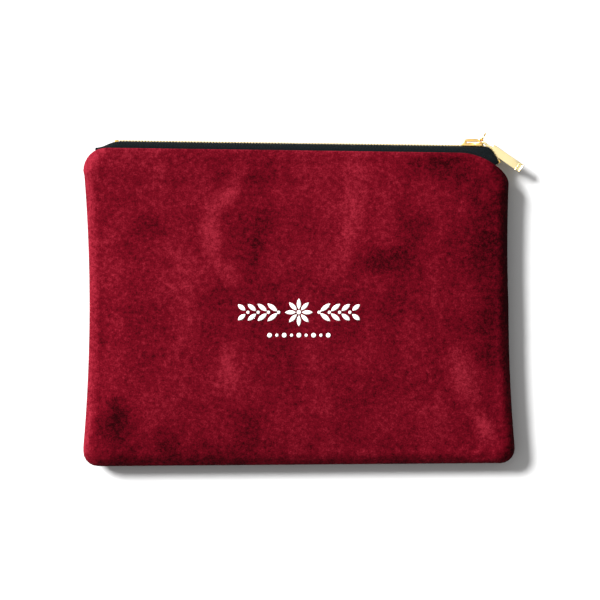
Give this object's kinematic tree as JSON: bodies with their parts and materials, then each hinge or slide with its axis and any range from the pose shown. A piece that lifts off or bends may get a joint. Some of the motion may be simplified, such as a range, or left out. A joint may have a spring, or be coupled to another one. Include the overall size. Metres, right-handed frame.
{
  "type": "zip pouch",
  "caption": "Flat padded velvet zip pouch with a metal zip along its upper edge, a bar pull tab on a ring, and a stitched leaf motif on the front.",
  "frame": {"origin": "centre of the flat underside that lies on the table", "axes": "+X along the zip towards the parked slider, +Y out of the mouth, +Z out of the front face"},
  "size_m": [0.2425, 0.1836, 0.0225],
  "materials": {
    "velvet": "crimson velvet with a soft mottled nap",
    "fleece": "white fleece wadding",
    "lining": "black plain-weave lining",
    "tape": "black woven zip tape",
    "teeth": "pale gold plated teeth",
    "slider": "polished gold plate",
    "tab": "polished pale gold plate",
    "thread": "white satin stitch"
  },
  "bodies": {
    "pouch": {"back_panel": "velvet", "back_padding": "fleece", "back_lining": "lining", "front_tape_left_end": "tape", "front_tape_right_end": "tape", "back_tape": "tape", "back_tape_right_end": "tape", "front_tape_cord_left_end": "tape", "front_tape_cord_right_end": "tape", "back_tape_cord": "tape", "back_tape_cord_right_end": "tape", "front_teeth_left_end": "teeth", "front_teeth_right_end": "teeth", "back_teeth": "teeth", "back_teeth_right_end": "teeth", "bottom_stop": "teeth", "front_top_stop": "teeth", "back_top_stop": "teeth"},
    "front_side": {"front_panel": "velvet", "front_padding": "fleece", "front_lining": "lining", "front_tape": "tape", "front_tape_cord": "tape", "front_teeth": "teeth", "embroidery": "thread"},
    "slider": {"slider_body": "slider", "slider_crown": "slider", "lock_spring": "slider"},
    "ring": {"pull_ring": "slider"},
    "tab": {"pull_tab": "tab"}
  },
  "joints": [
    {"name": "mouth_open", "type": "hinge", "parent": "pouch", "child": "front_side", "pos_m": [0, -0.0892, 0.011], "axis": [1, 0, 0], "range_deg": [0, 12]},
    {"name": "zip_slide", "type": "slide", "parent": "pouch", "child": "slider", "axis": [-0.9999, 0.014, 0], "range_m": [0, 0.1869], "deforming": ["front_teeth", "front_teeth_left_end", "back_teeth"]},
    {"name": "ring_swing", "type": "hinge", "parent": "slider", "child": "ring", "pos_m": [0.10018, 0.0903, 0.011], "axis": [0, 0, 1], "range_deg": [0, 75]},
    {"name": "tab_swing", "type": "hinge", "parent": "ring", "child": "tab", "pos_m": [0.10018, 0.0903, 0.011], "axis": [0, 0, 1], "range_deg": [0, 50]}
  ]
}
